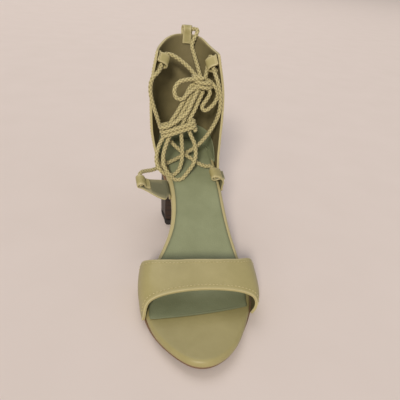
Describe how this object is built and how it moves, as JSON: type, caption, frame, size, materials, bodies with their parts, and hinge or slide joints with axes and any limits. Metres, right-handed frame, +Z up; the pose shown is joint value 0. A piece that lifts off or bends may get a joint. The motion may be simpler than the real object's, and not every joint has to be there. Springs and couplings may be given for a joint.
{
  "type": "high heel sandal",
  "caption": "Open-toe leather sandal for a left foot, with a wide toe strap, a tall back panel, a block heel and a lace tied at the ankle.",
  "frame": {"origin": "on the floor under the middle of the shoe's box", "axes": "+Z up from the floor, -Y to the toe, -X to the wearer's inner side"},
  "size_m": [0.0916, 0.225, 0.1726],
  "materials": {
    "strap_leather": "smooth olive leather, satin",
    "sole_leather": "dark sole edge, matt",
    "sock_leather": "soft lining leather, matt",
    "heel_stack": "dark stacked heel, satin",
    "tip_rubber": "black rubber, matt",
    "lace_braid": "round braided cord, matt"
  },
  "bodies": {
    "root": {"outsole": "sole_leather", "footbed": "strap_leather", "insole_sock": "sock_leather", "heel_block": "heel_stack", "heel_top_piece": "tip_rubber", "toe_strap": "strap_leather", "counter": "strap_leather", "back_loop": "strap_leather", "medial_ear_loop": "strap_leather", "lateral_ear_loop": "strap_leather", "medial_tab": "strap_leather", "lateral_tab": "strap_leather", "lace": "lace_braid", "lace_knot": "lace_braid", "lace_bow_a": "lace_braid", "lace_bow_b": "lace_braid", "lace_wrap": "lace_braid", "lace_side_loop": "lace_braid", "lace_leaf_loop": "lace_braid", "lace_back_tie": "lace_braid"}
  },
  "joints": []
}
